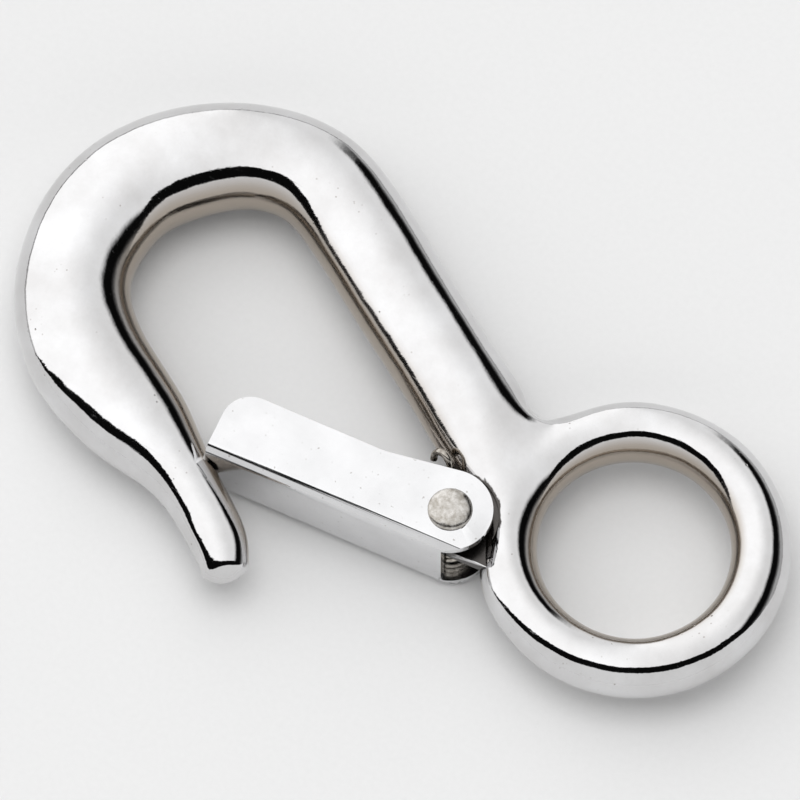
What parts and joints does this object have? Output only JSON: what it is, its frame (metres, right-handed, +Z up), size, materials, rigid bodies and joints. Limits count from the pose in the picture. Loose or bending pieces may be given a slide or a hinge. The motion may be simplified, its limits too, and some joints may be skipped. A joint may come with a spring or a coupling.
{
  "type": "boat snap",
  "caption": "Rigid round-eye boat snap: a cast hook with a broad shank, a round eye and a sprung channel gate that opens inward on a rivet.",
  "frame": {"origin": "middle of the snap's outline in plan, on the surface it lies on", "axes": "+X from the crown of the hook to the eye, +Y from the gate to the shank, +Z up through the thickness with the snap lying flat"},
  "size_m": [0.1132, 0.0624, 0.0142],
  "materials": {
    "plated_casting": "bright nickel plate on a tumbled casting",
    "plated_sheet": "satin nickel plate on folded sheet",
    "plated_rivet": "dull nickel plate on a set rivet head",
    "spring_wire": "drawn spring wire"
  },
  "bodies": {
    "hook": {"hook_body": "plated_casting", "gate_spring": "spring_wire"},
    "gate": {"gate": "plated_sheet", "gate_rivet": "plated_rivet"}
  },
  "joints": [
    {"name": "gate_hinge", "type": "hinge", "parent": "hook", "child": "gate", "pos_m": [0.01401, -0.00805, 0.0071], "axis": [0, 0, -1], "range_deg": [0, 40], "stiffness_Nm_per_rad": 0.35, "springref_deg": -40.11, "deforming": ["gate_spring"]}
  ]
}
